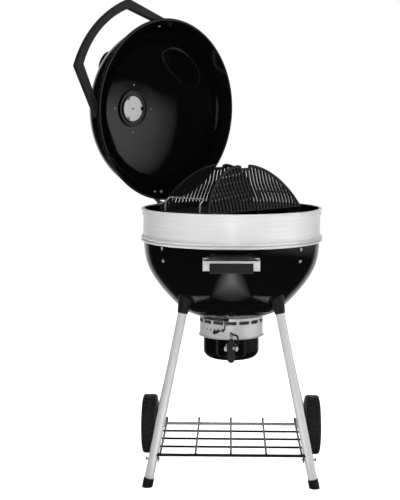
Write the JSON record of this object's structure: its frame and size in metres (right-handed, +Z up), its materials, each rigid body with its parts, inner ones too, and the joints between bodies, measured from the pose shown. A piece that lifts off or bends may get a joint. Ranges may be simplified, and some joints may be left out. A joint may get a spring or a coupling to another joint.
{
  "type": "kettle charcoal grill",
  "caption": "Round kettle barbecue on a wheeled stand, with hinged lid, fold-up grate, vents, ash catcher and wire shelf.",
  "frame": {"origin": "middle of the footprint at floor level, with the lid open", "axes": "+X to the right seen from the front, +Y to the back where the wheels are, +Z up"},
  "size_m": [0.8207, 0.8315, 1.5614],
  "materials": {
    "black_enamel": "gloss",
    "bright_steel": "brushed",
    "bracket_steel": "satin",
    "chrome_wire": "polished",
    "black_wire": "gloss",
    "grate_iron": "satin",
    "vent_black": "satin",
    "handle_black": "matte",
    "socket_black": "satin",
    "wheel_black": "matte",
    "dial_white": "matte",
    "gauge_lens": "clear"
  },
  "bodies": {
    "kettle": {"bowl_shell": "black_enamel", "rim_band": "bright_steel", "grate_brackets": "bracket_steel", "bowl_bolts": "chrome_wire", "bowl_handle_bracket": "bright_steel", "bowl_handle_grip": "handle_black", "bowl_handle_shield": "handle_black", "hinge_bracket": "bracket_steel", "hinge_pin": "bracket_steel", "ash_vent_ring": "bright_steel", "ash_ring_tabs": "bracket_steel", "catch_loop": "chrome_wire", "shelf_rack": "black_wire", "shelf_clamps": "black_wire", "shelf_screws": "chrome_wire", "axle": "chrome_wire", "axle_caps": "socket_black", "leg_socket_front_left": "socket_black", "leg_socket_front_right": "socket_black", "leg_socket_rear_left": "socket_black", "leg_socket_rear_right": "socket_black", "leg_front_left": "bright_steel", "leg_front_right": "bright_steel", "leg_rear_left": "bright_steel", "leg_rear_right": "bright_steel", "front_foot_left": "socket_black", "front_foot_right": "socket_black"},
    "lid": {"lid_shell": "black_enamel", "lid_handle": "handle_black", "lid_hinge_arm": "bracket_steel", "lid_bolts": "chrome_wire", "vent_ring": "vent_black", "vent_cap": "bright_steel", "vent_cap_rivets": "chrome_wire", "gauge_bezel": "handle_black", "gauge_dial": "dial_white", "gauge_glass": "gauge_lens", "gauge_stem": "bracket_steel", "gauge_guard": "bracket_steel"},
    "lid_vent": {"vent_disc": "bright_steel", "vent_spindle": "chrome_wire", "vent_knob": "handle_black"},
    "needle": {"gauge_needle": "chrome_wire"},
    "cooking_grate": {"grate_centre": "grate_iron", "grate_handles": "chrome_wire"},
    "rear_flap": {"grate_flap_rear": "grate_iron"},
    "front_flap": {"grate_flap_front": "grate_iron"},
    "coal_grate": {"charcoal_grate": "bracket_steel"},
    "damper": {"cleaning_blades": "bracket_steel", "damper_lever": "black_wire", "damper_knob": "handle_black"},
    "ash_catcher": {"ash_bowl": "black_enamel", "ash_handle": "handle_black", "ash_handle_plate": "bright_steel", "latch_pin": "chrome_wire"},
    "latch": {"latch_hook": "black_wire"},
    "left_wheel": {"wheel_tyre_left": "wheel_black", "wheel_hub_left": "socket_black"},
    "right_wheel": {"wheel_tyre_right": "wheel_black", "wheel_hub_right": "socket_black"}
  },
  "joints": [
    {"name": "lid_hinge", "type": "hinge", "parent": "kettle", "child": "lid", "pos_m": [-0.12654, 0.1665, 0.87705], "axis": [-0.7009, -0.7133, 0], "range_deg": [-88, 0]},
    {"name": "lid_vent_turn", "type": "hinge", "parent": "lid", "child": "lid_vent", "pos_m": [-0.25222, 0.29002, 1.20185], "axis": [-0.7128, 0.7005, 0.0349], "range_deg": [0, 60]},
    {"name": "gauge_needle_turn", "type": "hinge", "parent": "lid", "child": "needle", "pos_m": [-0.32859, 0.13999, 1.35793], "axis": [0.8607, -0.2835, -0.4228], "range_deg": [0, 240]},
    {"name": "cooking_grate_lift", "type": "slide", "parent": "kettle", "child": "cooking_grate", "axis": [0, 0, 1], "range_m": [0, 0.2]},
    {"name": "rear_flap_fold", "type": "hinge", "parent": "cooking_grate", "child": "rear_flap", "pos_m": [0.02269, 0.00914, 0.875], "axis": [-0.6455, -0.7638, 0], "range_deg": [0, 110]},
    {"name": "front_flap_fold", "type": "hinge", "parent": "cooking_grate", "child": "front_flap", "pos_m": [0.17851, -0.12254, 0.875], "axis": [0.6455, 0.7638, 0], "range_deg": [0, 110]},
    {"name": "charcoal_grate_lift", "type": "slide", "parent": "kettle", "child": "coal_grate", "axis": [0, 0, 1], "range_m": [0, 0.15]},
    {"name": "damper_turn", "type": "hinge", "parent": "kettle", "child": "damper", "pos_m": [0.1006, -0.0567, 0.519], "axis": [0, 0, 1], "range_deg": [-50, 0]},
    {"name": "ash_catcher_drop", "type": "slide", "parent": "kettle", "child": "ash_catcher", "axis": [0, 0, -1], "range_m": [0, 0.05]},
    {"name": "latch_turn", "type": "hinge", "parent": "ash_catcher", "child": "latch", "pos_m": [0.1096, -0.1837, 0.441], "axis": [0, 1, 0], "range_deg": [0, 120]},
    {"name": "left_wheel_spin", "type": "hinge", "parent": "kettle", "child": "left_wheel", "pos_m": [-0.1829, 0.1393, 0.1025], "axis": [1, 0, 0], "continuous": true},
    {"name": "right_wheel_spin", "type": "hinge", "parent": "kettle", "child": "right_wheel", "pos_m": [0.3841, 0.1393, 0.1025], "axis": [1, 0, 0], "continuous": true}
  ],
  "couplings": [
    {"joint": "latch_turn", "follows": "ash_catcher_drop", "rad_per_m": 41.884}
  ]
}
